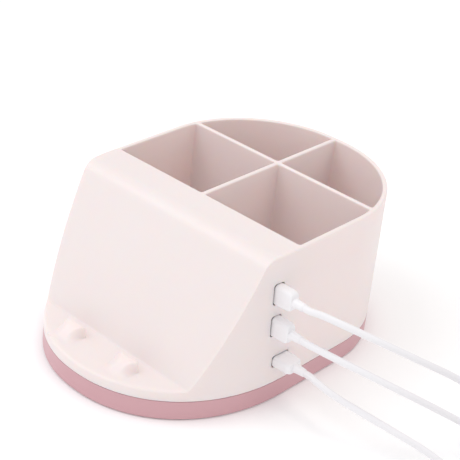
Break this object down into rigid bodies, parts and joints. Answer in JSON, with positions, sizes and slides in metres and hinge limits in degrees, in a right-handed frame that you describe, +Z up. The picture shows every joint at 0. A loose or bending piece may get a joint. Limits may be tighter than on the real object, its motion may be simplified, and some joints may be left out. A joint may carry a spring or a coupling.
{
  "type": "wireless charger desk organizer",
  "caption": "Desk organizer with a leaning wireless-charging face for a phone, an open divided pen holder behind it and charging leads plugged into its side.",
  "frame": {"origin": "on the desk, under the middle of the organizer's box without its leads", "axes": "+X to the side with the ports, +Y from the phone face to the pen holder, +Z up"},
  "size_m": [0.3589, 0.2155, 0.089],
  "materials": {
    "white_abs": "satin moulded white",
    "rose_abs": "satin moulded dusty rose",
    "grey_rubber": "matt grey rubber",
    "steel": "bright plated steel",
    "copper": "enamelled copper",
    "ferrite": "matt dark ferrite",
    "board_green": "green circuit board",
    "black_plastic": "matt black plastic",
    "plug_white": "smooth white moulding",
    "cord_white": "smooth white sheath",
    "red_wire": "red insulation",
    "black_wire": "black insulation",
    "tie_black": "black woven strap"
  },
  "bodies": {
    "organizer": {"organizer_body": "white_abs", "base_tray": "rose_abs", "foot_front_left": "grey_rubber", "base_screw_front_left": "steel", "foot_front_right": "grey_rubber", "base_screw_front_right": "steel", "foot_back_left": "grey_rubber", "base_screw_back_left": "steel", "foot_back_right": "grey_rubber", "base_screw_back_right": "steel", "coil_bracket": "black_plastic", "ferrite_sheet": "ferrite", "charge_coil": "copper", "coil_lead_inner": "copper", "coil_lead_outer": "copper", "bracket_screw_left": "steel", "bracket_screw_right": "steel", "charger_board": "board_green", "charger_chip": "black_plastic", "power_inductor": "black_plastic", "filter_capacitor": "steel", "charger_board_screw_left": "steel", "charger_board_screw_right": "steel", "output_board": "board_green", "output_chip": "black_plastic", "output_board_screw_upper": "steel", "output_board_screw_lower": "steel", "link_lead_red": "red_wire", "link_lead_black": "black_wire", "upper_socket": "steel", "upper_tongue": "black_plastic", "lower_socket": "steel", "lower_tongue": "black_plastic", "input_socket": "steel", "input_tongue": "black_plastic"},
    "upper_lead": {"upper_plug_shell": "steel", "upper_plug_housing": "plug_white", "upper_lead": "cord_white", "upper_lead_coil": "cord_white", "upper_far_housing": "plug_white", "upper_far_shell": "steel", "upper_tie": "tie_black"},
    "lower_lead": {"lower_plug_shell": "steel", "lower_plug_housing": "plug_white", "lower_lead": "cord_white", "lower_lead_coil": "cord_white", "lower_far_housing": "plug_white", "lower_far_shell": "steel", "lower_tie": "tie_black"},
    "input_lead": {"input_plug_shell": "steel", "input_plug_housing": "plug_white", "input_lead": "cord_white", "input_lead_coil": "cord_white", "input_far_housing": "plug_white", "input_far_shell": "steel", "input_tie": "tie_black"}
  },
  "joints": [
    {"name": "upper_lead_unplug", "type": "slide", "parent": "organizer", "child": "upper_lead", "axis": [1, 0, 0], "range_m": [0, 0.009]},
    {"name": "lower_lead_unplug", "type": "slide", "parent": "organizer", "child": "lower_lead", "axis": [1, 0, 0], "range_m": [0, 0.009]},
    {"name": "input_lead_unplug", "type": "slide", "parent": "organizer", "child": "input_lead", "axis": [1, 0, 0], "range_m": [0, 0.009]}
  ]
}
